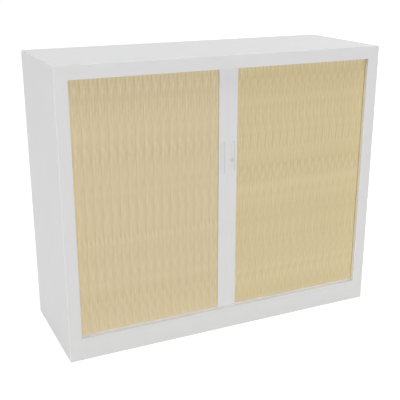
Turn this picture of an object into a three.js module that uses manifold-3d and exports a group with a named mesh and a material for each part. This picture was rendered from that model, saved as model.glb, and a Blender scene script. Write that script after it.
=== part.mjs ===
// Low office cupboard with two tambour doors, standalone three.js example.
// Millimetres, +Z up, front towards -Y, +X to the right, origin at the bottom centre of the carcass.
import * as THREE from 'three';
import { mergeVertices } from 'three/addons/utils/BufferGeometryUtils.js';
import Module from 'manifold-3d';

const wasm = await Module();
wasm.setup();

// ---------------------------------------------------------------- driving dimensions
const WIDTH = 1200;            // outside, along X
const DEPTH = 430;             // outside, along Y
const HEIGHT = 1000;           // outside, along Z
const SHEET = 1.2;             // carcass sheet steel
const THIN_SHEET = 1.0;        // liners and shelves
const GAP = 0.3;               // play between pieces that touch

const JAMB = 44;               // visible width of the folded front stiles
const RAIL = 45;               // visible height of the top rail
const PLINTH = 78.5;           // height of the bottom rail
const FOLD_BACK = 16;          // how far the folded edges of the rails run back
const STILE_EDGE = [6.7, -190.2]; // the stiles' folded edges splay outwards by this much on their way back to the curtain

const SLAT_PITCH = 30;
const SLAT_WIDTH = 29.4;
const SLAT_THICK = 6;
const SLAT_CROWN = 1.6;        // rise of the rounded face
const SLATS = 18;              // per side
const LAST_SLAT_OUT = 1.9;     // the last slat keeps near the outer wall of the bend
const CURTAIN_Y = -186.7;      // middle plane of the curtain along the front

const PROFILE_WIDTH = 35;      // leading edge profile, each side of the middle
const PROFILE_Y = [-195, -181];
const PROFILE_Z = [78.8, 960.5];
const PROFILE_WALL = 1.6;

const TRACK_GROOVE = 5.2;      // half width of the groove
const TRACK_OUT = 7;           // half width over the walls
const TRACK_R = 32;            // middle line radius at the corners
const TRACK_SIDE_X = 590;      // middle line along the sides
const TRACK_BACK_Y = 190;      // middle line along the back
const TRACK_END_X = 400;       // where the track ends along the back
const LOW_TRACK_Z = [69.5, 78.2];
const TOP_TRACK_Z = [961, 975];
const TRACK_SKIN = 2;          // floor of the groove

const CURTAIN_Z = [71.8, 970.5];

const BASE_Z = 68;             // underside of the floor sheet
const LINER_X = 576;
const LINER_BACK_Y = 177;

const PULL_X = 19;             // middle of the finger pulls, each side
const PULL_Z = 645.5;
const PULL_SIZE = [18, 117];   // body, seen from the front
const LOCK_Z = 635;
const LOCK_R = 6.9;

const SLOT_PITCH = 50;
const SLOT_FIRST_Z = 145;
const SLOT_COUNT = 17;
const SLOT_SIZE = [4, 14];     // along Y and Z
const SLOT_Y = [-118, 132];
const SHELF_SLOTS = [5, 12];   // which slot row carries each shelf
const SHELF_X = 574.5;
const SHELF_Y = [-158, 164];
const SHELF_DROP = 26;         // folded edge of a shelf

const FOOT_X = 520;
const FOOT_Y = [-150, 150];

// ---------------------------------------------------------------- helpers
const PERMUTE = new THREE.Matrix4().set(0, 0, 1, 0, 1, 0, 0, 0, 0, 1, 0, 0, 0, 0, 0, 1);

function asShape(points) {
  return new THREE.Shape(points.map(([a, b]) => new THREE.Vector2(a, b)));
}

/** A prism along Z from an outline in X and Y. */
function alongZ(outline, z0, z1) {
  const shape = outline instanceof THREE.Shape ? outline : asShape(outline);
  const g = new THREE.ExtrudeGeometry(shape, { depth: z1 - z0, bevelEnabled: false, curveSegments: 12 });
  return g.translate(0, 0, z0);
}

/** A prism along Y from an outline in X and Z. */
function alongY(outline, y0, y1) {
  const shape = outline instanceof THREE.Shape ? outline : asShape(outline);
  const g = new THREE.ExtrudeGeometry(shape, { depth: y1 - y0, bevelEnabled: false, curveSegments: 12 });
  return g.rotateX(Math.PI / 2).translate(0, y1, 0);
}

/** A prism along X from an outline in Y and Z. */
function alongX(outline, x0, x1) {
  const shape = outline instanceof THREE.Shape ? outline : asShape(outline);
  const g = new THREE.ExtrudeGeometry(shape, { depth: x1 - x0, bevelEnabled: false, curveSegments: 12 });
  return g.applyMatrix4(PERMUTE).translate(x0, 0, 0);
}

function box(x0, x1, y0, y1, z0, z1) {
  return new THREE.BoxGeometry(x1 - x0, y1 - y0, z1 - z0)
    .translate((x0 + x1) / 2, (y0 + y1) / 2, (z0 + z1) / 2);
}

/** A round bar along Y. */
function barY(r, y0, y1, x, z, sides = 24) {
  return new THREE.CylinderGeometry(r, r, y1 - y0, sides).translate(x, (y0 + y1) / 2, z);
}

/** A round bar along Z. */
function barZ(r, z0, z1, x, y, sides = 24) {
  return new THREE.CylinderGeometry(r, r, z1 - z0, sides).rotateX(Math.PI / 2).translate(x, y, (z0 + z1) / 2);
}

/** An outline with round ends, upright, in X and Z. */
function stadium(cx, cz, w, h) {
  const s = new THREE.Shape();
  const r = w / 2;
  s.absarc(cx, cz + h / 2 - r, r, 0, Math.PI, false);
  s.absarc(cx, cz - h / 2 + r, r, Math.PI, 2 * Math.PI, false);
  s.closePath();
  return s;
}

function solid(geometry) {
  const g = geometry.index ? geometry.toNonIndexed() : geometry.clone();
  g.deleteAttribute('normal');
  g.deleteAttribute('uv');
  const m = mergeVertices(g, 1e-4);
  return new wasm.Manifold(new wasm.Mesh({
    numProp: 3,
    vertProperties: new Float32Array(m.attributes.position.array),
    triVerts: new Uint32Array(m.index.array),
  }));
}

function join(...geometries) {
  return geometries.map((g) => (g.isBufferGeometry ? solid(g) : g)).reduce((a, b) => a.add(b));
}

function cut(base, ...tools) {
  return tools.map((g) => (g.isBufferGeometry ? solid(g) : g))
    .reduce((a, b) => a.subtract(b), base.isBufferGeometry ? solid(base) : base);
}

function geometryOf(made) {
  const mesh = made.getMesh();
  const n = mesh.numProp;
  const count = mesh.vertProperties.length / n;
  const positions = new Float32Array(count * 3);
  for (let i = 0; i < count; i += 1) {
    for (let k = 0; k < 3; k += 1) positions[3 * i + k] = mesh.vertProperties[n * i + k];
  }
  const g = new THREE.BufferGeometry();
  g.setAttribute('position', new THREE.BufferAttribute(positions, 3));
  g.setIndex(new THREE.BufferAttribute(new Uint32Array(mesh.triVerts), 1));
  g.computeVertexNormals();
  return g;
}

/** The same shape on the other side of the middle plane, with its faces still pointing out. */
function mirrored(geometry) {
  const g = geometry.clone();
  const p = g.attributes.position;
  for (let i = 0; i < p.count; i += 1) p.setX(i, -p.getX(i));
  const order = Array.from(g.index.array);
  for (let i = 0; i < order.length; i += 3) [order[i + 1], order[i + 2]] = [order[i + 2], order[i + 1]];
  g.setIndex(order);
  g.computeVertexNormals();
  return g;
}

/** The outline of a folded sheet: a line of points with the sheet's thickness on its left side. */
function foldedSheet(points, t) {
  const left = [];
  for (let i = 0; i < points.length; i += 1) {
    const before = points[Math.max(i - 1, 0)];
    const here = points[i];
    const after = points[Math.min(i + 1, points.length - 1)];
    const d0 = new THREE.Vector2(here[0] - before[0], here[1] - before[1]);
    const d1 = new THREE.Vector2(after[0] - here[0], after[1] - here[1]);
    if (i === 0) d0.copy(d1);
    if (i === points.length - 1) d1.copy(d0);
    d0.normalize();
    d1.normalize();
    const n0 = new THREE.Vector2(-d0.y, d0.x);
    const n1 = new THREE.Vector2(-d1.y, d1.x);
    const miter = n0.clone().add(n1).normalize();
    const reach = t / Math.max(miter.dot(n0), 0.2);
    left.push([here[0] + miter.x * reach, here[1] + miter.y * reach]);
  }
  return [...points, ...left.reverse()];
}

// ---------------------------------------------------------------- the track's middle line, seen from above
function trackLine() {
  const half = [];
  const cx = TRACK_SIDE_X - TRACK_R;
  const arc = (cy, from, to) => {
    const steps = 8;
    for (let i = 0; i <= steps; i += 1) {
      const a = from + ((to - from) * i) / steps;
      half.push([cx + TRACK_R * Math.cos(a), cy + TRACK_R * Math.sin(a)]);
    }
  };
  half.push([0, CURTAIN_Y]);
  arc(CURTAIN_Y + TRACK_R, -Math.PI / 2, 0);
  arc(TRACK_BACK_Y - TRACK_R, 0, Math.PI / 2);
  half.push([TRACK_END_X, TRACK_BACK_Y]);
  const other = half.slice(1).map(([x, y]) => [-x, y]).reverse();
  return [...other, ...half];
}

/** A band of even width around the track's middle line, as an outline in X and Y. */
function band(halfWidth, extra = 0) {
  const line = trackLine();
  const ends = [0, line.length - 1];
  if (extra) {
    line[ends[0]] = [line[ends[0]][0] + extra, line[ends[0]][1]];
    line[ends[1]] = [line[ends[1]][0] - extra, line[ends[1]][1]];
  }
  const sides = [[], []];
  line.forEach((here, i) => {
    const before = line[Math.max(i - 1, 0)];
    const after = line[Math.min(i + 1, line.length - 1)];
    const d0 = new THREE.Vector2(here[0] - before[0], here[1] - before[1]);
    const d1 = new THREE.Vector2(after[0] - here[0], after[1] - here[1]);
    if (i === 0) d0.copy(d1);
    if (i === line.length - 1) d1.copy(d0);
    d0.normalize();
    d1.normalize();
    const n0 = new THREE.Vector2(-d0.y, d0.x);
    const n = n0.clone().add(new THREE.Vector2(-d1.y, d1.x)).normalize();
    const reach = halfWidth / n.dot(n0);
    sides[0].push([here[0] + n.x * reach, here[1] + n.y * reach]);
    sides[1].push([here[0] - n.x * reach, here[1] - n.y * reach]);
  });
  return [...sides[0], ...sides[1].reverse()];
}

// ---------------------------------------------------------------- materials
const paint = (hex, roughness, metalness) => () => new THREE.MeshStandardMaterial({ color: hex, roughness, metalness });
const STEEL_PAINT = paint(0xd9dadb, 0.55, 0.0);
const LINER_PAINT = paint(0xd3d4d5, 0.6, 0.0);
const MAPLE = paint(0xcfbf9c, 0.55, 0.0);
const GREY_PLASTIC = paint(0xcfd0d1, 0.6, 0.0);
const BLACK_PLASTIC = paint(0x2b2c2e, 0.6, 0.0);
const NICKEL = paint(0xb8b9ba, 0.3, 1.0);
const ZINC = paint(0xa9abac, 0.45, 1.0);

const cupboard = new THREE.Group();
cupboard.name = 'tambour_cupboard';
const carcass = new THREE.Group();
const leftDoor = new THREE.Group();
const rightDoor = new THREE.Group();
cupboard.add(carcass, leftDoor, rightDoor);

function piece(parent, name, made, material) {
  const geometry = made.isBufferGeometry ? made : geometryOf(made);
  const mesh = new THREE.Mesh(geometry, material());
  mesh.name = name;
  parent.add(mesh);
  return mesh;
}

// ---------------------------------------------------------------- carcass
const X = WIDTH / 2;
const F = -DEPTH / 2;
const B = DEPTH / 2;
const OPEN_X = X - JAMB;
const FOLD_Y = F + FOLD_BACK;
const SIDE_TOP = HEIGHT - SHEET - GAP;

// side panel, front stile and rear flange from one folded sheet; the stile's edge is notched round the tracks
const EDGE_X = OPEN_X + STILE_EDGE[0];
const EDGE_Y = STILE_EDGE[1];
const NOTCH_Y = CURTAIN_Y - TRACK_OUT - 0.4;
const rightSide = geometryOf(cut(
  alongZ(foldedSheet([[EDGE_X, EDGE_Y], [OPEN_X, F], [X, F], [X, B], [X - 22, B]], SHEET), 0, SIDE_TOP),
  ...[LOW_TRACK_Z, TOP_TRACK_Z].map(([z0, z1]) => box(OPEN_X, EDGE_X + 5, NOTCH_Y, EDGE_Y + 5, z0 - GAP, z1 + GAP)),
));
piece(carcass, 'right_side_panel', rightSide, STEEL_PAINT);
piece(carcass, 'left_side_panel', mirrored(rightSide), STEEL_PAINT);

/** A rail along the front, its ends cut to the slant of the stiles' edges. */
function frontRail(outline) {
  const slant = [
    [OPEN_X - GAP, F - 1], [OPEN_X - GAP, F], [EDGE_X - GAP, EDGE_Y], [EDGE_X - GAP, EDGE_Y + 5], [X, EDGE_Y + 5], [X, F - 1],
  ];
  const other = slant.map(([x, y]) => [-x, y]).reverse();
  return cut(alongX(outline, -OPEN_X - 9, OPEN_X + 9), alongZ(slant, -5, HEIGHT + 5), alongZ(other, -5, HEIGHT + 5));
}

// top sheet with its front rail and rear flange
piece(carcass, 'top_panel', join(
  box(-X, X, F, B, HEIGHT - SHEET, HEIGHT),
  frontRail([
    [FOLD_Y, HEIGHT - RAIL], [FOLD_Y, HEIGHT - RAIL + SHEET], [F + SHEET, HEIGHT - RAIL + SHEET],
    [F + SHEET, HEIGHT - SHEET / 2], [F, HEIGHT - SHEET / 2], [F, HEIGHT - RAIL],
  ]),
  box(-(X - 22 - GAP), X - 22 - GAP, B - SHEET, B, HEIGHT - 24, HEIGHT - SHEET / 2),
), STEEL_PAINT);

// bottom rail: foot flange, face, ledge and its turned down edge
piece(carcass, 'plinth', frontRail([
  [FOLD_Y + 2, 0], [FOLD_Y + 2, SHEET], [F + SHEET, SHEET], [F + SHEET, PLINTH - SHEET],
  [FOLD_Y - SHEET, PLINTH - SHEET], [FOLD_Y - SHEET, BASE_Z + SHEET + GAP],
  [FOLD_Y, BASE_Z + SHEET + GAP], [FOLD_Y, PLINTH], [F, PLINTH], [F, 0],
]), STEEL_PAINT);

// floor sheet with turned down edges and threaded bosses for the feet
const floorX = X - SHEET - GAP;
const floorBack = B - 3.1;
const BOSS_Z = BASE_Z - 9;
{
  const feet = FOOT_Y.flatMap((y) => [[-FOOT_X, y], [FOOT_X, y]]);
  let floor = join(
    box(-floorX, floorX, F + SHEET + GAP, floorBack, BASE_Z, BASE_Z + SHEET),
    box(-floorX, -floorX + SHEET, F + 30, floorBack, BASE_Z - 20, BASE_Z + SHEET / 2),
    box(floorX - SHEET, floorX, F + 30, floorBack, BASE_Z - 20, BASE_Z + SHEET / 2),
    box(-floorX, floorX, floorBack - SHEET, floorBack, BASE_Z - 20, BASE_Z + SHEET / 2),
    ...feet.map(([x, y]) => barZ(9, BOSS_Z, BASE_Z + SHEET / 2, x, y, 20)),
  );
  floor = cut(
    floor,
    ...feet.map(([x, y]) => barZ(5.4, BOSS_Z - 5, BASE_Z + 5, x, y, 20)),
    box(-EDGE_X - SHEET - 2 * GAP, -OPEN_X + GAP, F, EDGE_Y + 2 * GAP, BASE_Z - 5, BASE_Z + 5),
    box(OPEN_X - GAP, EDGE_X + SHEET + 2 * GAP, F, EDGE_Y + 2 * GAP, BASE_Z - 5, BASE_Z + 5),
  );
  piece(carcass, 'base_panel', floor, STEEL_PAINT);
}

// back sheet, fastened from inside against the rear flanges
piece(carcass, 'back_panel', solid(box(-floorX, floorX, B - SHEET - GAP - SHEET, B - SHEET - GAP, 1, SIDE_TOP)), STEEL_PAINT);

// inner liners: they keep the contents off the curtain and hold the shelves
function liner() {
  const outline = foldedSheet([
    [LINER_X - 18, -177.5], [LINER_X - 9, -174], [LINER_X, -163],
    [LINER_X, LINER_BACK_Y - 11], [LINER_X - 10, LINER_BACK_Y], [TRACK_END_X, LINER_BACK_Y],
  ], THIN_SHEET);
  const slots = [];
  for (let i = 0; i < SLOT_COUNT; i += 1) {
    const z = SLOT_FIRST_Z + i * SLOT_PITCH;
    SLOT_Y.forEach((y) => slots.push(box(
      LINER_X - 4, LINER_X + 4, y - SLOT_SIZE[0] / 2, y + SLOT_SIZE[0] / 2, z, z + SLOT_SIZE[1],
    )));
  }
  return geometryOf(cut(alongZ(outline, BASE_Z + SHEET + GAP, SIDE_TOP), ...slots));
}
const rightLiner = liner();
piece(carcass, 'right_liner', rightLiner, LINER_PAINT);
piece(carcass, 'left_liner', mirrored(rightLiner), LINER_PAINT);

// tracks: one groove at the foot and one at the head, round both corners
// the lower one has a lip along the front that carries the ledge of the bottom rail on up to the curtain
const LIP_Y = [FOLD_Y + GAP, CURTAIN_Y - TRACK_OUT + 1];
piece(carcass, 'bottom_track', cut(
  join(
    alongZ(band(TRACK_OUT), ...LOW_TRACK_Z),
    frontRail([[LIP_Y[0], LOW_TRACK_Z[0]], [LIP_Y[1], LOW_TRACK_Z[0]], [LIP_Y[1], LOW_TRACK_Z[1]], [LIP_Y[0], LOW_TRACK_Z[1]]]),
  ),
  alongZ(band(TRACK_GROOVE, -5), LOW_TRACK_Z[0] + TRACK_SKIN, LOW_TRACK_Z[1] + 5),
), GREY_PLASTIC);
piece(carcass, 'top_track', join(cut(
  alongZ(band(TRACK_OUT), ...TOP_TRACK_Z),
  alongZ(band(TRACK_GROOVE, -5), TOP_TRACK_Z[0] - 5, TOP_TRACK_Z[1] - TRACK_SKIN),
), alongZ(band(1), TOP_TRACK_Z[1] - 1, SIDE_TOP)), GREY_PLASTIC);

// shelves: upside down trays with a hook tongue at each corner that reaches through the liner
function shelf(row) {
  const slotZ = SLOT_FIRST_Z + row * SLOT_PITCH;
  const top = slotZ + GAP + 20;
  const [y0, y1] = SHELF_Y;
  const tray = cut(
    box(-SHELF_X, SHELF_X, y0, y1, top - SHELF_DROP, top),
    box(-SHELF_X + THIN_SHEET, SHELF_X - THIN_SHEET, y0 + THIN_SHEET, y1 - THIN_SHEET, top - SHELF_DROP - 5, top - THIN_SHEET),
  );
  const tongues = [];
  [-1, 1].forEach((side) => SLOT_Y.forEach((y) => {
    const [xa, xb] = [side * (SHELF_X - THIN_SHEET / 2), side * (LINER_X + 3)].sort((a, b) => a - b);
    tongues.push(box(xa, xb, y - 1.5, y + 1.5, slotZ + GAP, slotZ + GAP + 10));
  }));
  const lips = [
    box(-SHELF_X, SHELF_X, y0, y0 + 12, top - SHELF_DROP, top - SHELF_DROP + THIN_SHEET),
    box(-SHELF_X, SHELF_X, y1 - 12, y1, top - SHELF_DROP, top - SHELF_DROP + THIN_SHEET),
  ];
  return join(tray, ...tongues, ...lips);
}
piece(carcass, 'lower_shelf', shelf(SHELF_SLOTS[0]), STEEL_PAINT);
piece(carcass, 'upper_shelf', shelf(SHELF_SLOTS[1]), STEEL_PAINT);

// levelling feet, screwed up through the floor sheet
const FOOT_PROFILE = [
  [0, 0], [20, 0], [21, 1], [21, 5], [19.5, 6.5], [9, 8], [7.5, 10], [7.5, 13], [5, 14.5], [5, BASE_Z + SHEET - GAP], [0, BASE_Z + SHEET - GAP],
].map(([r, z]) => new THREE.Vector2(r, z));
[['front_left_foot', -FOOT_X, FOOT_Y[0]], ['front_right_foot', FOOT_X, FOOT_Y[0]],
  ['rear_left_foot', -FOOT_X, FOOT_Y[1]], ['rear_right_foot', FOOT_X, FOOT_Y[1]]].forEach(([name, x, y]) => {
  const g = new THREE.LatheGeometry(FOOT_PROFILE, 20).rotateX(Math.PI / 2);
  const foot = piece(carcass, name, solid(g), BLACK_PLASTIC);
  foot.position.set(x, y, 0);
});

// ---------------------------------------------------------------- leading edge profiles, pulls and lock
function leadingProfile() {
  const [x0, x1] = [GAP, PROFILE_WIDTH];
  const [y0, y1] = PROFILE_Y;
  const [z0, z1] = PROFILE_Z;
  const channel = cut(
    box(x0, x1, y0, y1, z0, z1),
    box(x0 + PROFILE_WALL, x1 - PROFILE_WALL, y0 + PROFILE_WALL, y1 + 5, z0 - 5, z1 + 5),
  );
  const tongueY = [CURTAIN_Y - SLAT_THICK / 2, CURTAIN_Y + SLAT_THICK / 2];
  const ends = [
    box(x0 + 1, x1 - 1, y0 + 0.8, tongueY[1], z0, z0 + 8),
    box(x0 + 1, x1 - 1, y0 + 0.8, tongueY[1], z1 - 8, z1),
    box(x0 + 3.5, x1 - 3.5, ...tongueY, CURTAIN_Z[0], z0 + 8),
    box(x0 + 3.5, x1 - 3.5, ...tongueY, z1 - 8, CURTAIN_Z[1]),
  ];
  return cut(
    join(channel, ...ends),
    alongY(stadium(PULL_X, PULL_Z, PULL_SIZE[0] + 2 * GAP, PULL_SIZE[1] + 2 * GAP), y0 - 5, y0 + 5),
  );
}
const rightProfile = geometryOf(leadingProfile());
piece(rightDoor, 'right_leading_profile', rightProfile, STEEL_PAINT);
piece(leftDoor, 'left_leading_profile', mirrored(rightProfile), STEEL_PAINT);

const PULL_FLOOR = -191.4;
function fingerPull() {
  const face = PROFILE_Y[0];
  const [w, h] = PULL_SIZE;
  return cut(
    join(
      alongY(stadium(PULL_X, PULL_Z, w + 3.6, h + 3.6), face - GAP - 0.8, face - GAP),
      alongY(stadium(PULL_X, PULL_Z, w, h), face - GAP - 0.4, PULL_FLOOR + 1.2),
    ),
    alongY(stadium(PULL_X, PULL_Z, w - 2.4, h - 2.4), face - 5, PULL_FLOOR),
  );
}
piece(rightDoor, 'right_pull', cut(
  fingerPull(),
  barY(LOCK_R + GAP, PULL_FLOOR - 2, PULL_FLOOR + 5, PULL_X, LOCK_Z),
), GREY_PLASTIC);
piece(leftDoor, 'left_pull', mirrored(geometryOf(fingerPull())), GREY_PLASTIC);

piece(rightDoor, 'lock_housing', cut(
  box(PULL_X - 12, PULL_X + 12, -189.9, -171.5, 602, 668),
  barY(LOCK_R + GAP, -195, -165, PULL_X, LOCK_Z),
), ZINC);

// cylinder with a key slot, and the headed tail that carries the hook bolt
const LOCK_FACE = -191.8;
piece(rightDoor, 'lock_cylinder', cut(
  join(
    barY(LOCK_R, LOCK_FACE, -171.5, PULL_X, LOCK_Z),
    barY(4, -172, -167, PULL_X, LOCK_Z, 16),
    barY(6, -168.4, -166.4, PULL_X, LOCK_Z, 16),
  ),
  box(PULL_X - 0.8, PULL_X + 0.8, LOCK_FACE - 2, LOCK_FACE + 6, LOCK_Z - 4.2, LOCK_Z + 4.2),
), NICKEL);

piece(rightDoor, 'lock_hook', cut(
  join(
    barY(9, -171.2, -168.7, PULL_X, LOCK_Z, 20),
    box(PULL_X - 3, PULL_X + 3, -171.2, -168.7, LOCK_Z - 31, LOCK_Z),
    box(PULL_X - 8, PULL_X + 3, -171.2, -168.7, LOCK_Z - 31, LOCK_Z - 27),
  ),
  barY(4 + GAP, -175, -165, PULL_X, LOCK_Z, 16),
), ZINC);

// strike on the back of the left profile, with the lug that the hook closes over
piece(leftDoor, 'strike_plate', join(
  box(-34.5, -2.3, -180.7, -178.7, 612, 662),
  box(-5.5, -2.5, -179.5, -167.5, LOCK_Z + 3.5, LOCK_Z + 10),
), ZINC);

// ---------------------------------------------------------------- tambour slats
function slatOutline() {
  const h = SLAT_WIDTH / 2;
  const front = -SLAT_THICK / 2;
  const back = SLAT_THICK / 2;
  const pts = [];
  const n = 8;
  for (let i = 0; i <= n; i += 1) {
    const x = -h + (SLAT_WIDTH * i) / n;
    pts.push([x, front + SLAT_CROWN * (x / h) ** 2]);
  }
  pts.push([h, back - 0.8], [h - 0.8, back], [-h + 0.8, back], [-h, back - 0.8]);
  return pts;
}
const slatGeometry = geometryOf(solid(alongZ(slatOutline(), CURTAIN_Z[0], CURTAIN_Z[1])));

// the last slat of each side already starts to turn into the corner, as far as its play in the groove lets it
function lastSlat() {
  const x0 = PROFILE_WIDTH + SLAT_PITCH * (SLATS - 1);
  const cx = TRACK_SIDE_X - TRACK_R;
  let lo = 0;
  let hi = Math.PI / 2;
  for (let i = 0; i < 60; i += 1) {
    const a = (lo + hi) / 2;
    const length = Math.hypot(cx + TRACK_R * Math.sin(a) - x0, TRACK_R * (1 - Math.cos(a)));
    if (length < SLAT_PITCH) lo = a; else hi = a;
  }
  const end = [cx + TRACK_R * Math.sin(lo), CURTAIN_Y + TRACK_R * (1 - Math.cos(lo))];
  return {
    x: (x0 + end[0]) / 2,
    y: (CURTAIN_Y + end[1]) / 2 - LAST_SLAT_OUT,
    turn: 0.55 * Math.atan2(end[1] - CURTAIN_Y, end[0] - x0),
  };
}

[['left', -1, leftDoor], ['right', 1, rightDoor]].forEach(([side, sign, door]) => {
  for (let k = 1; k <= SLATS; k += 1) {
    const slat = piece(door, `${side}_slat_${String(k).padStart(2, '0')}`, slatGeometry, MAPLE);
    if (k < SLATS) {
      slat.position.set(sign * (PROFILE_WIDTH + SLAT_PITCH * (k - 0.5)), CURTAIN_Y, 0);
    } else {
      const at = lastSlat();
      slat.position.set(sign * at.x, at.y, 0);
      slat.rotation.z = sign * at.turn;
    }
  }
});

export default cupboard;
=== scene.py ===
"""Looks of the low office cupboard with two tambour doors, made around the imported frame.

Metres, +Z up, front towards -Y. Lengths in the tables below are millimetres.
"""

import math

import bmesh
import bpy
from mathutils import Matrix, Vector


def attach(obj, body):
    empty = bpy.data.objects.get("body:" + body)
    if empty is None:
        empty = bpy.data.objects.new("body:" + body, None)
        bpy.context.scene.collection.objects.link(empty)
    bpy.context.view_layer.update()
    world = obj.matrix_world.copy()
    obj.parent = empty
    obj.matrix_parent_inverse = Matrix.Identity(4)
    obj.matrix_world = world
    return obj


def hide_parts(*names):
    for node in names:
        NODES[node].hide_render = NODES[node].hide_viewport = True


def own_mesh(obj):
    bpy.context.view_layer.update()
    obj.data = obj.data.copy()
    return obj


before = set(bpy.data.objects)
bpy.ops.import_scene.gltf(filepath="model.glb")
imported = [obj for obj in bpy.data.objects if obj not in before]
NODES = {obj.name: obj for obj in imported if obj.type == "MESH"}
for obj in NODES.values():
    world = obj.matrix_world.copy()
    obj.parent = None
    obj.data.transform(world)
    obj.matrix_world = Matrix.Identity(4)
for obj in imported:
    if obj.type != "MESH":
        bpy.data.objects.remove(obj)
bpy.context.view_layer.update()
SCENE = bpy.context.scene
MM = 0.001

# ---------------------------------------------------------------- dimensions shared with the frame
SHEET = 1.2
FRONT_Y, BACK_Y = -215.0, 215.0
HALF = 600.0
JAMB_X = 556.0
RAIL_X = 565.0
FOLD_Y = -199.0
EDGE_X, EDGE_Y = 562.7, -190.2
RAIL_Z = 955.0
PLINTH_Z = 78.5
CURTAIN_Y = -186.7
CURTAIN_Z = (71.8, 970.5)
GLIDE_Z = (79.8, 962.5)  # where the slats' film ends and their glides begin
PITCH, FIRST_X = 30.0, 35.0
SLATS = 18
SLAT_HALF, SLAT_CROWN = 14.95, 1.6
PULL_X, PULL_Z = 19.0, 645.5
LOCK_Z = 635.0

SCENE.view_settings.view_transform = "Standard"
SCENE.view_settings.look = "None"
SCENE.view_settings.exposure = 0.0
SCENE.view_settings.gamma = 1.0


# ---------------------------------------------------------------- mesh helpers
def soften(me, degrees=32.0):
    """Outward normals, smooth faces, and sharp edges where the surface turns by more than this."""
    bm = bmesh.new()
    bm.from_mesh(me)
    bmesh.ops.recalc_face_normals(bm, faces=bm.faces)
    limit = math.radians(degrees)
    for e in bm.edges:
        e.smooth = len(e.link_faces) == 2 and e.calc_face_angle(0.0) < limit
    for f in bm.faces:
        f.smooth = True
    bm.to_mesh(me)
    bm.free()


def new_object(name, verts, faces, material, degrees=32.0):
    me = bpy.data.meshes.new(name)
    me.from_pydata([(x * MM, y * MM, z * MM) for x, y, z in verts], [], faces)
    me.materials.append(material)
    ob = bpy.data.objects.new(name, me)
    SCENE.collection.objects.link(ob)
    soften(me, degrees)
    return ob


def fillet(points, radii, steps=4):
    """A closed outline with its corners rounded."""
    out = []
    n = len(points)
    for i, (p, r) in enumerate(zip(points, radii)):
        here = Vector(p)
        u, v = Vector(points[i - 1]) - here, Vector(points[(i + 1) % n]) - here
        room = min(u.length, v.length)
        if r <= 0 or room < 1e-6:
            out.append((here.x, here.y))
            continue
        u.normalize()
        v.normalize()
        angle = u.angle(v)
        if angle > math.pi - 1e-3:
            out.append((here.x, here.y))
            continue
        d = min(r / math.tan(angle / 2), room * 0.98)
        r = d * math.tan(angle / 2)
        centre = here + (u + v).normalized() * (r / math.sin(angle / 2))
        a, b = here + u * d - centre, here + v * d - centre
        a0 = math.atan2(a.y, a.x)
        turn = (math.atan2(b.y, b.x) - a0 + math.pi) % (2 * math.pi) - math.pi
        for k in range(steps + 1):
            t = a0 + turn * k / steps
            out.append((centre.x + r * math.cos(t), centre.y + r * math.sin(t)))
    return out


def folded(path, t=SHEET, inside=0.25, outside=1.1, square=()):
    """The outline of a folded sheet, its thickness on the left of the path, with round folds. The folds in square stay square outside."""
    left, right_r, left_r = [], [], []
    last = len(path) - 1
    for i, p in enumerate(path):
        here = Vector(p)
        d0 = here - Vector(path[i - 1]) if i else Vector(path[1]) - here
        d1 = Vector(path[i + 1]) - here if i < last else d0
        d0, d1 = d0.normalized(), d1.normalized()
        n0, n1 = Vector((-d0.y, d0.x)), Vector((-d1.y, d1.x))
        miter = (n0 + n1).normalized()
        q = here + miter * (t / miter.dot(n0))
        left.append((q.x, q.y))
        if i in (0, last):
            right_r.append(0.25)
            left_r.append(0.25)
        else:
            turns_left = d0.x * d1.y - d0.y * d1.x > 0
            outer = 0.03 if i in square else outside
            right_r.append(outer if turns_left else inside)
            left_r.append(inside if turns_left else outer)
    return fillet(list(path) + left[::-1], right_r + left_r[::-1])


def prism(name, outline, axis, lo, hi, material, degrees=32.0):
    """A closed bar along an axis from an outline in the other two coordinates."""
    place = {"x": lambda a, b, c: (c, a, b), "y": lambda a, b, c: (a, c, b), "z": lambda a, b, c: (a, b, c)}[axis]
    n = len(outline)
    verts = [place(a, b, lo) for a, b in outline] + [place(a, b, hi) for a, b in outline]
    faces = [(i, (i + 1) % n, n + (i + 1) % n, n + i) for i in range(n)]
    faces += [tuple(range(n))[::-1], tuple(range(n, 2 * n))]
    return new_object(name, verts, faces, material, degrees)


def stadium(cx, cz, half_width, straight, steps=20):
    """Points of an upright outline with round ends, in X and Z."""
    pts = []
    for k in range(steps + 1):
        t = math.pi * k / steps
        pts.append((cx + half_width * math.cos(t), cz + straight / 2 + half_width * math.sin(t)))
    for k in range(steps + 1):
        t = math.pi + math.pi * k / steps
        pts.append((cx + half_width * math.cos(t), cz - straight / 2 + half_width * math.sin(t)))
    return pts


def loft(name, rings, material, degrees=40.0):
    """A closed skin through rings of equal count, with flat ends."""
    n = len(rings[0])
    verts = [v for ring in rings for v in ring]
    faces = []
    for j in range(len(rings) - 1):
        for i in range(n):
            k = (i + 1) % n
            faces.append((j * n + i, j * n + k, (j + 1) * n + k, (j + 1) * n + i))
    faces.append(tuple(range(n))[::-1])
    faces.append(tuple(range((len(rings) - 1) * n, len(rings) * n)))
    return new_object(name, verts, faces, material, degrees)


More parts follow.
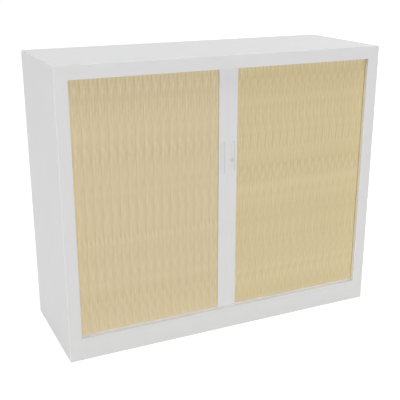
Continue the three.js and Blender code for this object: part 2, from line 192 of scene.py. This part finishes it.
def lathe_y(name, profile, cx, cz, material, steps=64, degrees=35.0):
    """A turned piece about an axis along Y; the profile is (radius, y) and ends on the axis at both ends."""
    rings = profile[1:-1]
    verts = [(cx, profile[0][1], cz)]
    for r, y in rings:
        verts += [(cx + r * math.cos(2 * math.pi * i / steps), y, cz + r * math.sin(2 * math.pi * i / steps)) for i in range(steps)]
    verts.append((cx, profile[-1][1], cz))
    faces = []
    for i in range(steps):
        k = (i + 1) % steps
        faces.append((0, 1 + k, 1 + i))
        for j in range(len(rings) - 1):
            a, b = 1 + j * steps, 1 + (j + 1) * steps
            faces.append((a + i, a + k, b + k, b + i))
        faces.append((len(verts) - 1, 1 + (len(rings) - 1) * steps + i, 1 + (len(rings) - 1) * steps + k))
    return new_object(name, verts, faces, material, degrees)


def lathe_z(name, profile, cx, cy, material, steps=48, degrees=35.0):
    """A turned piece about an upright axis; the profile is (radius, z)."""
    ob = lathe_y(name, profile, 0.0, 0.0, material, steps, degrees)
    ob.data.transform(Matrix(((1, 0, 0, cx * MM), (0, 0, -1, cy * MM), (0, 1, 0, 0), (0, 0, 0, 1))))
    soften(ob.data, degrees)
    return ob


def boolean(ob, tool, operation):
    """The mesh of ob joined with or cut by tool, which is used up."""
    m = ob.modifiers.new("cut", "BOOLEAN")
    m.operation = operation
    m.solver = "EXACT"
    m.object = tool
    bpy.context.view_layer.update()
    made = bpy.data.meshes.new_from_object(ob.evaluated_get(bpy.context.evaluated_depsgraph_get()))
    ob.modifiers.remove(m)
    old = ob.data
    ob.data = made
    made.name = ob.name
    bpy.data.meshes.remove(old)
    bpy.data.objects.remove(tool)
    return ob


def level_faces(ob):
    """Keep the flat faces flat beside small round edges, by weighting the shading by face area."""
    w = ob.modifiers.new("level", "WEIGHTED_NORMAL")
    w.mode = "FACE_AREA"
    w.weight = 50
    w.keep_sharp = True


def ease_edges(ob, width, segments=2, degrees=38.0):
    """Small round edges on a piece, without touching its own vertices."""
    w = ob.modifiers.new("weld", "WELD")
    w.merge_threshold = 2e-6
    b = ob.modifiers.new("edges", "BEVEL")
    b.width = width * MM
    b.segments = segments
    b.limit_method = "ANGLE"
    b.angle_limit = math.radians(degrees)
    b.use_clamp_overlap = True
    b.harden_normals = False
    for p in ob.data.polygons:
        p.use_smooth = True
    level_faces(ob)


# ---------------------------------------------------------------- materials
def srgb(r, g, b):
    def lin(c):
        c /= 255.0
        return c / 12.92 if c <= 0.04045 else ((c + 0.055) / 1.055) ** 2.4

    return (lin(r), lin(g), lin(b), 1.0)


class Tree:
    """A material's nodes, with short calls for the ones used here."""

    def __init__(self, name):
        self.mat = bpy.data.materials.new(name)
        self.mat.use_nodes = True
        self.t = self.mat.node_tree
        self.bsdf = self.t.nodes["Principled BSDF"]

    def node(self, kind, **settings):
        n = self.t.nodes.new(kind)
        for k, v in settings.items():
            setattr(n, k, v)
        return n

    def put(self, socket, value):
        if hasattr(value, "is_output"):
            self.t.links.new(value, socket)
        else:
            socket.default_value = value

    def math(self, op, a, b=None, c=None):
        n = self.node("ShaderNodeMath", operation=op)
        for i, v in enumerate((a, b, c)):
            if v is not None:
                self.put(n.inputs[i], v)
        return n.outputs[0]

    def vector(self, x=0.0, y=0.0, z=0.0):
        n = self.node("ShaderNodeCombineXYZ")
        for s, v in zip(n.inputs, (x, y, z)):
            self.put(s, v)
        return n.outputs[0]

    def split(self, v):
        n = self.node("ShaderNodeSeparateXYZ")
        self.put(n.inputs[0], v)
        return n.outputs

    def noise(self, v, scale=1.0, detail=2.0, rough=0.5, distortion=0.0):
        n = self.node("ShaderNodeTexNoise", noise_dimensions="3D")
        self.put(n.inputs["Vector"], v)
        n.inputs["Scale"].default_value = scale
        n.inputs["Detail"].default_value = detail
        n.inputs["Roughness"].default_value = rough
        n.inputs["Distortion"].default_value = distortion
        return n.outputs["Fac"]

    def ramp(self, fac, stops, smooth=True):
        n = self.node("ShaderNodeValToRGB")
        n.color_ramp.interpolation = "EASE" if smooth else "LINEAR"
        self.put(n.inputs[0], fac)
        e = n.color_ramp.elements
        while len(e) > len(stops):
            e.remove(e[-1])
        while len(e) < len(stops):
            e.new(0.5)
        for el, (at, colour) in zip(e, stops):
            el.position = at
            el.color = colour if isinstance(colour, tuple) else (colour, colour, colour, 1.0)
        return n.outputs[0]

    def bump(self, height, distance, strength=1.0, normal=None):
        n = self.node("ShaderNodeBump")
        n.inputs["Strength"].default_value = strength
        n.inputs["Distance"].default_value = distance
        self.put(n.inputs["Height"], height)
        if normal is not None:
            self.put(n.inputs["Normal"], normal)
        return n.outputs[0]

    def here(self):
        return self.node("ShaderNodeTexCoord").outputs["Object"]


def powder_coat(name, colour, rough=0.62, texture=1.0):
    """Satin powder coat: fine orange peel, a faint cloudiness, and a slightly uneven sheen."""
    t = Tree(name)
    p = t.here()
    peel = t.noise(p, 620.0, 3.0, 0.55)
    grit = t.noise(p, 2600.0, 1.0, 0.5)
    cloud = t.noise(p, 7.0, 3.0, 0.6)
    base = [c * 0.994 for c in colour[:3]] + [1.0]
    high = [min(1.0, c * 1.006) for c in colour[:3]] + [1.0]
    t.put(t.bsdf.inputs["Base Color"], t.ramp(cloud, [(0.3, tuple(base)), (0.7, tuple(high))]))
    sheen = t.math("MULTIPLY_ADD", t.noise(p, 22.0, 2.0), 0.10, rough - 0.05)
    t.put(t.bsdf.inputs["Roughness"], sheen)
    t.bsdf.inputs["Specular IOR Level"].default_value = 0.18
    h = t.math("MULTIPLY_ADD", grit, 0.35, peel)
    t.put(t.bsdf.inputs["Normal"], t.bump(h, 0.000018 * texture, 0.9))
    return t.mat


def moulded(name, colour, rough=0.55, grain=1400.0, depth=0.00003):
    """Matt moulded plastic with a fine spark texture."""
    t = Tree(name)
    p = t.here()
    spark = t.noise(p, grain, 3.0, 0.6)
    tone = t.noise(p, 14.0, 2.0)
    low = tuple([c * 0.97 for c in colour[:3]] + [1.0])
    high = tuple([min(1.0, c * 1.03) for c in colour[:3]] + [1.0])
    t.put(t.bsdf.inputs["Base Color"], t.ramp(tone, [(0.3, low), (0.7, high)]))
    t.put(t.bsdf.inputs["Roughness"], t.math("MULTIPLY_ADD", spark, 0.12, rough - 0.06))
    t.bsdf.inputs["Specular IOR Level"].default_value = 0.4
    t.put(t.bsdf.inputs["Normal"], t.bump(spark, depth, 0.8))
    return t.mat


def plated(name, colour, rough, streak=(900.0, 900.0, 90.0), spread=0.12, tarnish=0.86, metallic=1.0):
    """Plated metal with fine drawn lines and an uneven polish."""
    t = Tree(name)
    x, y, z = t.split(t.here())[:3]
    lines = t.noise(t.vector(t.math("MULTIPLY", x, streak[0]), t.math("MULTIPLY", y, streak[1]), t.math("MULTIPLY", z, streak[2])), 1.0, 3.0, 0.6)
    cloud = t.noise(t.here(), 160.0, 3.0, 0.6)
    low = tuple([c * tarnish for c in colour[:3]] + [1.0])
    t.put(t.bsdf.inputs["Base Color"], t.ramp(cloud, [(0.32, low), (0.68, colour)]))
    t.bsdf.inputs["Metallic"].default_value = metallic
    t.put(t.bsdf.inputs["Roughness"], t.math("MULTIPLY_ADD", lines, spread, rough - spread / 2))
    t.put(t.bsdf.inputs["Normal"], t.bump(lines, 0.00001, 0.6))
    return t.mat


def maple(name, seed, mid, streaks, bands, ticks):
    """Maple-look film on a slat. It reads the slat's own UV map: u runs across one pitch, v is the height in metres,
    so that every slat of a door carries the same stretch of grain."""
    t = Tree(name)
    dark, mid, light = (srgb(*[c * k for c, k in zip(mid, tone)]) for tone in ((0.940, 0.930, 0.895), (1, 1, 1), (1.044, 1.054, 1.082)))
    uv = t.node("ShaderNodeUVMap", uv_map="slat").outputs[0]
    u, v = t.split(uv)[:2]
    # slow sideways wander of the fibres, which makes the streaks lean one way and then the other
    sway = t.noise(t.vector(0.0, t.math("MULTIPLY", v, 7.0), seed), 1.0, 1.0)
    quiver = t.noise(t.vector(3.0, t.math("MULTIPLY", v, 24.0), seed), 1.0, 1.0)
    lean = t.math("MULTIPLY_ADD", t.math("SUBTRACT", sway, 0.5), 0.60, u)
    lean = t.math("MULTIPLY_ADD", t.math("SUBTRACT", quiver, 0.5), 0.10, lean)
    # fine, middle and broad fibres, broken into dashes along the height
    fine = t.noise(t.vector(t.math("MULTIPLY", lean, 24.0), t.math("MULTIPLY", v, 16.0), seed + 1.0), 1.0, 3.0, 0.6)
    middle = t.noise(t.vector(t.math("MULTIPLY", lean, 5.2), t.math("MULTIPLY", v, 26.0), seed + 2.0), 1.0, 2.0, 0.55)
    broad = t.noise(t.vector(t.math("MULTIPLY", lean, 2.4), t.math("MULTIPLY", v, 11.0), seed + 3.0), 1.0, 1.0, 0.5)
    # flame figure: arches that close upwards, shown only where the ramp lets them
    off = t.math("SUBTRACT", u, 0.46)
    arch = t.math("MULTIPLY_ADD", t.math("MULTIPLY", off, off), -0.42, v)
    arch = t.noise(t.vector(t.math("MULTIPLY", u, 1.4), t.math("MULTIPLY", arch, 58.0), seed + 4.0), 1.0, 2.0, 0.6)
    where = t.ramp(v, ticks)
    figure = t.math("MULTIPLY", t.math("SUBTRACT", arch, 0.5), where)
    dashes = t.math("MULTIPLY", t.math("SUBTRACT", middle, 0.5), t.math("MULTIPLY_ADD", where, 1.05, streaks))
    # pores: short dark dashes along the fibres
    pore = t.noise(t.vector(t.math("MULTIPLY", lean, 60.0), t.math("MULTIPLY", v, 90.0), seed + 5.0), 1.0, 1.0)
    pore = t.ramp(pore, [(0.62, 0.0), (0.74, 1.0)])
    # light and dark stretches, ragged at their edges
    ragged = t.math("MULTIPLY_ADD", t.math("SUBTRACT", broad, 0.5), 0.03, v)
    stretch = t.math("MULTIPLY", t.math("SUBTRACT", t.ramp(ragged, bands), 0.5), t.math("MULTIPLY_ADD", middle, 1.0, 0.5))
    total = t.math("MULTIPLY_ADD", t.math("SUBTRACT", fine, 0.5), 0.40, 0.5)
    total = t.math("ADD", total, dashes)
    total = t.math("MULTIPLY_ADD", t.math("SUBTRACT", broad, 0.5), 0.15, total)
    total = t.math("MULTIPLY_ADD", figure, 0.35, total)
    total = t.math("MULTIPLY_ADD", stretch, 0.32, total)
    total = t.math("MULTIPLY_ADD", pore, -0.12, total)
    # painted light: a little paler on the slat's rolled edges, offsetting the shade that falls in the joints between
    # slats
    edge = t.math("POWER", t.math("MULTIPLY", t.math("ABSOLUTE", t.math("SUBTRACT", u, 0.5)), 2.0), 4.0)
    total = t.math("MULTIPLY_ADD", edge, 0.10, total)
    colour = t.ramp(total, [(0.0, dark), (0.5, mid), (1.0, light)], smooth=False)
    t.put(t.bsdf.inputs["Base Color"], colour)
    t.put(t.bsdf.inputs["Roughness"], t.math("MULTIPLY_ADD", middle, 0.14, 0.50))
    t.bsdf.inputs["Specular IOR Level"].default_value = 0.30
    h = t.math("MULTIPLY_ADD", pore, -0.5, fine)
    t.put(t.bsdf.inputs["Normal"], t.bump(h, 0.00004, 0.8))
    return t.mat


STEEL = powder_coat("steel_paint", srgb(216, 216, 216))
# painted light: a paler coat for the stiles' shaded inner returns, in place of the light they lack
RETURN_LIGHTENED = powder_coat("return_painted_light", srgb(236, 236, 236))
INNER = powder_coat("inner_paint", srgb(212, 212, 212), 0.58)
PROFILE = powder_coat("profile_paint", srgb(216.5, 216.5, 217), 0.56, 0.6)
# white plastic track, partly painted light: made paler still to lift the shade at the foot of the curtain
GUIDE = moulded("guide_plastic", srgb(240, 240, 243), 0.55)
# pale plastic glides, partly painted light: made paler still to offset the shade where the slats meet the tracks
GLIDE = moulded("glide_plastic", srgb(232, 232, 234), 0.6)
PULL = moulded("pull_plastic", srgb(213, 213, 213), 0.6)
RUBBER = moulded("foot_plastic", srgb(46, 47, 49), 0.6, 900.0)
ZINC = plated("zinc", srgb(176, 179, 180), 0.42)
NICKEL = plated("nickel", srgb(214, 213, 211), 0.54, (1500.0, 1500.0, 1500.0), 0.10, 0.96, 0.45)
# light and dark stretches of the grain by height, as shares of one metre
MAPLE_LEFT = maple(
    "maple_left", 2.3, (208.6, 192, 156.2), 0.78,
    [(0.09, 0.62), (0.16, 0.40), (0.22, 0.44), (0.28, 0.56), (0.345, 0.40), (0.385, 0.52), (0.398, 0.72),
     (0.412, 0.40), (0.45, 0.54), (0.52, 0.58), (0.60, 0.50), (0.70, 0.40), (0.74, 0.50), (0.785, 0.66),
     (0.82, 0.50), (0.90, 0.42), (0.955, 0.50)],
    [(0.12, 0.1), (0.18, 0.9), (0.24, 0.1), (0.39, 0.1), (0.412, 1.0), (0.43, 0.1), (0.66, 0.1), (0.70, 1.0), (0.76, 0.2), (0.93, 1.0)],
)
MAPLE_RIGHT = maple(
    "maple_right", 11.7, (206.8, 191.4, 150.9), 1.15,
    [(0.09, 0.50), (0.16, 0.58), (0.25, 0.55), (0.30, 0.38), (0.38, 0.40), (0.43, 0.52), (0.50, 0.52), (0.535, 0.70),
     (0.552, 0.38), (0.58, 0.46), (0.62, 0.38), (0.645, 0.58), (0.69, 0.66), (0.72, 0.42), (0.80, 0.50), (0.90, 0.47), (0.955, 0.55)],
    [(0.12, 0.4), (0.18, 0.9), (0.26, 0.1), (0.50, 0.1), (0.56, 1.0), (0.61, 0.8), (0.64, 0.2), (0.68, 0.5), (0.80, 0.1), (0.90, 0.8)],
)


# ---------------------------------------------------------------- placing pieces
def place(ob, body, slot, *nodes):
    if nodes:
        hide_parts(*nodes)
    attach(ob, body)
    return ob


def dress(node, material, width=0.35):
    """A frame node that stays: its material and slightly eased edges."""
    ob = NODES[node]
    for s in ob.material_slots:
        s.material = material
    if width:
        ease_edges(ob, width)


# ---------------------------------------------------------------- carcass
# The stiles meet the rails flush, so their inner fold is round only along the opening.
STILE = [(EDGE_X, EDGE_Y), (JAMB_X, FRONT_Y), (HALF, FRONT_Y), (HALF, BACK_Y), (HALF - 22, BACK_Y)]
round_fold, square_fold = folded(STILE), folded(STILE, square=(1,))


def slanted(ob, gap=0.0):
    """Cut the ends of a front rail to the slant of the stiles' edges."""
    for sign in (-1, 1):
        slant = [
            (JAMB_X - gap, FRONT_Y - 1), (JAMB_X - gap, FRONT_Y), (EDGE_X - gap, EDGE_Y), (EDGE_X - gap, EDGE_Y + 5),
            (HALF, EDGE_Y + 5), (HALF, FRONT_Y - 1),
        ]
        boolean(ob, prism("slant", [(sign * x, y) for x, y in slant], "z", -5.0, 998.75, STEEL), "DIFFERENCE")
    soften(ob.data)
    return ob



for side_name, sign in (("left", -1), ("right", 1)):
    rings = [
        [(sign * x, y, z) for x, y in (round_fold if PLINTH_Z < z < RAIL_Z else square_fold)]
        for z in (0.0, PLINTH_Z - 0.2, PLINTH_Z + 0.4, RAIL_Z - 0.4, RAIL_Z + 0.2, 998.8)
    ]
    side = loft(f"{side_name}_side_skin", rings, STEEL, 32.0)
    for z0, z1 in ((69.2, PLINTH_Z), (960.7, 975.3)):
        corners = sorted((sign * JAMB_X, sign * (EDGE_X + 5)))
        notch = [(corners[0], -194.1), (corners[1], -194.1), (corners[1], EDGE_Y + 5), (corners[0], EDGE_Y + 5)]
        boolean(side, prism("notch", notch, "z", z0, z1, STEEL), "DIFFERENCE")
    soften(side.data)
    # painted light: the returns that face the opening get a paler coat than the rest, standing in for the light that
    # does not reach these shaded faces
    side.data.materials.append(RETURN_LIGHTENED)
    for p in side.data.polygons:
        x, y = abs(p.center.x) / MM, p.center.y / MM
        if JAMB_X - 1 < x < EDGE_X + 1 and FRONT_Y + 1 < y < EDGE_Y and p.normal.x * sign < -0.9:
            p.material_index = 1
    level_faces(place(side, "carcass", "steel_paint", f"{side_name}_side_panel"))

top = slanted(prism(
    "top_skin",
    folded([(BACK_Y, 976.0), (BACK_Y, 1000.0), (FRONT_Y, 1000.0), (FRONT_Y, RAIL_Z), (FOLD_Y, RAIL_Z)]),
    "x", -RAIL_X, RAIL_X, STEEL,
))
edge = fillet([(FRONT_Y, 998.8), (BACK_Y, 998.8), (BACK_Y, 1000.0), (FRONT_Y, 1000.0)], [0.03, 0.03, 1.1, 1.1])
top = boolean(top, prism("sheet", edge, "x", -HALF, HALF, STEEL), "UNION")
soften(top.data)
level_faces(place(top, "carcass", "steel_paint", "top_panel"))

level_faces(place(
    slanted(prism(
        "plinth_skin",
        folded([(FOLD_Y, 69.5), (FOLD_Y, PLINTH_Z), (FRONT_Y, PLINTH_Z), (FRONT_Y, 0.0), (FOLD_Y + 2, 0.0)]),
        "x", -RAIL_X, RAIL_X, STEEL,
    )),
    "carcass", "steel_paint", "plinth",
))

dress("base_panel", STEEL)
dress("back_panel", STEEL, 0.3)
dress("left_liner", INNER, 0.25)
dress("right_liner", INNER, 0.25)
dress("lower_shelf", INNER, 0.3)
dress("upper_shelf", INNER, 0.3)
dress("bottom_track", GUIDE, 0.4)
dress("top_track", GUIDE, 0.4)

FOOT = [
    (0.0, 0.0), (19.2, 0.0), (20.4, 0.4), (21.0, 1.4), (21.0, 4.6), (20.4, 5.9), (19.0, 6.6), (13.0, 7.4), (9.2, 8.0),
    (8.0, 9.0), (7.5, 10.4), (7.5, 12.6), (7.0, 13.6), (5.2, 14.4),
]
for i in range(30):  # thread of the stem
    z = 15.0 + i * 1.75
    FOOT += [(4.55, z), (4.95, z + 0.7), (4.95, z + 0.95), (4.55, z + 1.6)]
FOOT += [(4.6, 68.0), (4.2, 68.9), (0.0, 68.9)]
for name, x, y in (("front_left_foot", -520, -150), ("front_right_foot", 520, -150), ("rear_left_foot", -520, 150), ("rear_right_foot", 520, 150)):
    level_faces(place(lathe_z(name + "_turned", FOOT, x, y, RUBBER), "carcass", "foot_plastic", name))

# ---------------------------------------------------------------- leading edge profiles, pulls, lock
def meeting_profile(side_name):
    """The frame's leading profile again, with its closing face brought up to the middle, where the two doors meet."""
    node = NODES[f"{side_name}_leading_profile"]
    ob = bpy.data.objects.new(f"{side_name}_closing_profile", node.data.copy())
    SCENE.collection.objects.link(ob)
    bpy.context.view_layer.update()
    world = node.matrix_world.copy()
    back = world.inverted()
    for v in ob.data.vertices:
        p = world @ v.co
        if abs(p.x) < 0.00032:
            p.x = math.copysign(0.00004, p.x)
            v.co = back @ p
    ob.matrix_world = world
    ob.data.materials.clear()
    ob.data.materials.append(PROFILE)
    for p in ob.data.polygons:
        p.material_index = 0
    ease_edges(place(ob, f"{side_name}_door", "profile_paint", node.name), 0.12)


for side_name in ("left", "right"):
    meeting_profile(side_name)

CUP = [  # half width and y of the pull's skin, from the middle of its back over the lip to the recess floor
    (8.2, -190.2), (8.8, -190.35), (9.0, -191.0), (9.0, -194.9), (9.05, -195.02), (10.6, -195.02), (10.8, -195.07), (10.74, -195.16),
    (10.45, -195.26), (9.9, -195.33), (9.0, -195.36), (8.4, -195.28), (7.95, -195.0), (7.7, -194.6), (7.4, -193.2),
    (7.1, -192.4), (6.6, -191.85), (5.9, -191.5), (5.0, -191.4),
]
for side_name, sign in (("left", -1), ("right", 1)):
    rings = [[(x, y, z) for x, z in stadium(sign * PULL_X, PULL_Z, w, 99.0)] for w, y in CUP]
    cup = loft(f"{side_name}_pull_cup", rings, PULL)
    if side_name == "right":
        bore = lathe_y("bore", [(0.0, -200.0), (7.02, -200.0), (7.02, -183.0), (0.0, -183.0)], PULL_X, LOCK_Z, PULL)
        cup = boolean(cup, bore, "DIFFERENCE")
        soften(cup.data, 40.0)
    level_faces(place(cup, f"{side_name}_door", "pull_plastic", f"{side_name}_pull"))

barrel = lathe_y(
    "lock_barrel",
    [(0.0, -166.4), (5.6, -166.4), (6.0, -166.8), (6.0, -168.0), (5.7, -168.4), (4.0, -168.4), (4.0, -171.5), (6.9, -171.5),
     (6.9, -191.3), (6.75, -191.65), (6.4, -191.8), (5.35, -191.8), (5.2, -191.6), (5.05, -191.55), (4.9, -191.6), (4.75, -191.8), (0.0, -191.8)],
    PULL_X, LOCK_Z, NICKEL,
)
slot = prism(
    "keyway",
    fillet([(PULL_X - 0.4, LOCK_Z - 3.1), (PULL_X + 0.4, LOCK_Z - 3.1), (PULL_X + 0.4, LOCK_Z - 0.4), (PULL_X + 0.7, LOCK_Z - 0.4),
            (PULL_X + 0.7, LOCK_Z + 0.8), (PULL_X + 0.4, LOCK_Z + 0.8), (PULL_X + 0.4, LOCK_Z + 3.1), (PULL_X - 0.4, LOCK_Z + 3.1)],
           [0.15] * 8, 2),
    "y", -197.0, -190.3, NICKEL,
)
barrel = boolean(barrel, slot, "DIFFERENCE")
soften(barrel.data, 35.0)
level_faces(place(barrel, "lock", "nickel", "lock_cylinder"))
dress("lock_housing", ZINC, 0.6)
dress("lock_hook", ZINC, 0.3)
dress("strike_plate", ZINC, 0.3)


# ---------------------------------------------------------------- tambour slats
def slat_outline():
    """Section of a slat: crowned front with rolled edges, and a back with two shallow grooves."""
    h = SLAT_HALF
    pts = []
    n = 18
    for i in range(n + 1):
        x = -(h - 0.6) + 2 * (h - 0.6) * i / n
        pts.append((x, -3.0 + SLAT_CROWN * 0.34 * (abs(x) / (h - 0.6)) ** 2.2))
    right = [(h - 0.25, -2.25), (h - 0.06, -2.05), (h, -1.75), (h, 1.9), (h - 0.3, 2.6), (h - 1.0, 3.0), (6.4, 3.0), (5.9, 2.5), (4.9, 2.5), (4.4, 3.0)]
    return pts + right + [(-x, y) for x, y in right[::-1]]


OUTLINE = slat_outline()


def last_slat():
    """Where the last slat lies: it starts to turn with the track, near the outer wall of the groove."""
    x0 = FIRST_X + PITCH * (SLATS - 1)
    cx, r = 558.0, 32.0
    lo, hi = 0.0, math.pi / 2
    for _ in range(60):
        a = (lo + hi) / 2
        if math.hypot(cx + r * math.sin(a) - x0, r * (1 - math.cos(a))) < PITCH:
            lo = a
        else:
            hi = a
    ex, ey = cx + r * math.sin(lo), CURTAIN_Y + r * (1 - math.cos(lo))
    return (x0 + ex) / 2, (CURTAIN_Y + ey) / 2 - 1.9, 0.55 * math.atan2(ey - CURTAIN_Y, ex - x0)


def slat(name, x, y, turn, material):
    """A slat with a plastic glide at each end."""
    rows = [CURTAIN_Z[0], CURTAIN_Z[0] + 0.8, GLIDE_Z[0], GLIDE_Z[1], CURTAIN_Z[1] - 0.8, CURTAIN_Z[1]]
    shrink = [0.94, 1.0, 1.0, 1.0, 1.0, 0.94]
    n = len(OUTLINE)
    c, s = math.cos(turn), math.sin(turn)
    verts = []
    for z, k in zip(rows, shrink):
        k = 1.0 - (1.0 - k) * 0.35
        verts += [(x + c * a * k - s * b * k, y + s * a * k + c * b * k, z) for a, b in OUTLINE]
    last = len(rows) - 1
    faces = [tuple(range(n))[::-1], tuple(range(last * n, (last + 1) * n))]
    for j in range(last):
        faces += [(j * n + i, j * n + (i + 1) % n, (j + 1) * n + (i + 1) % n, (j + 1) * n + i) for i in range(n)]
    ob = new_object(name, verts, faces, material, 50.0)
    ob.data.materials.append(GLIDE)
    for p in ob.data.polygons:
        p.material_index = int(not GLIDE_Z[0] < p.center.z / MM < GLIDE_Z[1])
    layer = ob.data.uv_layers.new(name="slat")
    for loop in ob.data.loops:
        a = OUTLINE[loop.vertex_index % n][0]
        layer.data[loop.index].uv = (a / PITCH + 0.5, rows[loop.vertex_index // n] * MM)
    return ob


for side_name, sign, material in (("left", -1, MAPLE_LEFT), ("right", 1, MAPLE_RIGHT)):
    for k in range(1, SLATS + 1):
        node = f"{side_name}_slat_{k:02d}"
        if k < SLATS:
            x, y, turn = sign * (FIRST_X + PITCH * (k - 0.5)), CURTAIN_Y, 0.0
        else:
            lx, y, turn = last_slat()
            x, turn = sign * lx, sign * turn
        ob = slat(f"{node}_film", x, y, turn, material)
        place(ob, node, "maple", node)
        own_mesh(ob)

# ---------------------------------------------------------------- floor, light and camera
def stage_floor():
    me = bpy.data.meshes.new("floor")
    r, n = 70.0, 96
    me.from_pydata([(r * math.cos(2 * math.pi * i / n), r * math.sin(2 * math.pi * i / n), -0.0003) for i in range(n)], [], [tuple(range(n))])
    ob = bpy.data.objects.new("floor", me)
    SCENE.collection.objects.link(ob)
    t = Tree("floor")
    t.t.nodes.remove(t.bsdf)
    lit, shown, glow = (t.node(k) for k in ("ShaderNodeBsdfDiffuse", "ShaderNodeBsdfDiffuse", "ShaderNodeEmission"))
    lit.inputs["Color"].default_value = (0.50, 0.50, 0.50, 1.0)
    shown.inputs["Color"].default_value = (0.16, 0.16, 0.16, 1.0)
    glow.inputs["Strength"].default_value = 0.97
    add, mix, ray = t.node("ShaderNodeAddShader"), t.node("ShaderNodeMixShader"), t.node("ShaderNodeLightPath")
    t.put(add.inputs[0], shown.outputs[0])
    t.put(add.inputs[1], glow.outputs[0])
    t.put(mix.inputs[0], ray.outputs["Is Camera Ray"])
    t.put(mix.inputs[1], lit.outputs[0])
    t.put(mix.inputs[2], add.outputs[0])
    t.put(t.t.nodes["Material Output"].inputs["Surface"], mix.outputs[0])
    me.materials.append(t.mat)


def soft_light(name, at, aim, size, power):
    data = bpy.data.lights.new(name, "AREA")
    data.shape = "DISK"
    data.size = size
    data.energy = power
    ob = bpy.data.objects.new(name, data)
    ob.location = at
    ob.rotation_mode = "QUATERNION"
    ob.rotation_quaternion = (Vector(aim) - Vector(at)).to_track_quat("-Z", "Y")
    SCENE.collection.objects.link(ob)


def studio_dome(light, backdrop):
    """An even dome of light, shown as a plain white backdrop."""
    world = bpy.data.worlds.new("studio")
    world.use_nodes = True
    nodes, links = world.node_tree.nodes, world.node_tree.links
    ground = nodes["Background"]
    ground.inputs["Strength"].default_value = light
    seen, mix, ray = nodes.new("ShaderNodeBackground"), nodes.new("ShaderNodeMixShader"), nodes.new("ShaderNodeLightPath")
    for n in (ground, seen):
        n.inputs["Color"].default_value = (1.0, 1.0, 1.0, 1.0)
    seen.inputs["Strength"].default_value = backdrop
    links.new(ray.outputs["Is Camera Ray"], mix.inputs[0])
    links.new(ground.outputs[0], mix.inputs[1])
    links.new(seen.outputs[0], mix.inputs[2])
    links.new(mix.outputs[0], nodes["World Output"].inputs["Surface"])
    SCENE.world = world


def soft_box(name, azimuth, elevation, share, size=6.0, distance=14.0):
    """A large round light, aimed at the middle of the cupboard; share is what it adds to a surface facing it."""
    a, e = math.radians(azimuth), math.radians(elevation)
    middle = Vector((0, 0, 0.5))
    at = middle + distance * Vector((math.sin(a) * math.cos(e), -math.cos(a) * math.cos(e), math.sin(e)))
    soft_light(name, at, middle, size, share * (math.pi * distance) ** 2)


stage_floor()
studio_dome(0.20, 1.0)
soft_box("front_box", -13, 4, 0.586, 5.8, 40.0)
soft_box("left_box", -90, 4, 0.508, 5.8, 40.0)
soft_box("right_box", 125, 12, 0.45, 4.0)
soft_box("rear_box", 165, 45, 0.12, 6.0)
soft_box("overhead_box", 0, 84, 0.695, 8.0)

camera = bpy.data.cameras.new("camera")
camera.sensor_width = 36.0
camera.lens = 743.9 * 36.0 / 400.0
camera.clip_start, camera.clip_end = 0.05, 200.0
view = bpy.data.objects.new("camera", camera)
view.location = (-1.1467, -2.4094, 1.3249)
view.rotation_mode = "QUATERNION"
view.rotation_quaternion = Vector((0.4031, 0.8584, -0.3174)).to_track_quat("-Z", "Y")
SCENE.collection.objects.link(view)
SCENE.camera = view
